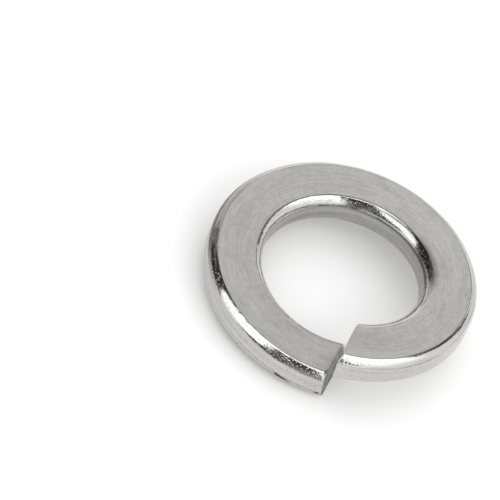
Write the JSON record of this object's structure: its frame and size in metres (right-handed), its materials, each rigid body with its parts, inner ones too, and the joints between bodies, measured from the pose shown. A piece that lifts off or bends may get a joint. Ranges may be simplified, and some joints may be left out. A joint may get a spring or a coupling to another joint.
{
  "type": "spring lock washer",
  "caption": "Split helical spring lock washer: one steel ring cut through at a slant, with its two ends set apart, that stops a bolt or nut from working loose.",
  "frame": {"origin": "on the axis of the bore, level with the washer's lowest point", "axes": "+Z along the bore, up from the low end to the high end; -Y towards the split"},
  "size_m": [0.0205, 0.0204, 0.0051],
  "materials": {
    "stainless_steel": "satin flat faces and walls, polished rounded corners, dark sheared cut faces"
  },
  "bodies": {
    "root": {"lock_washer": "stainless_steel"}
  },
  "joints": []
}
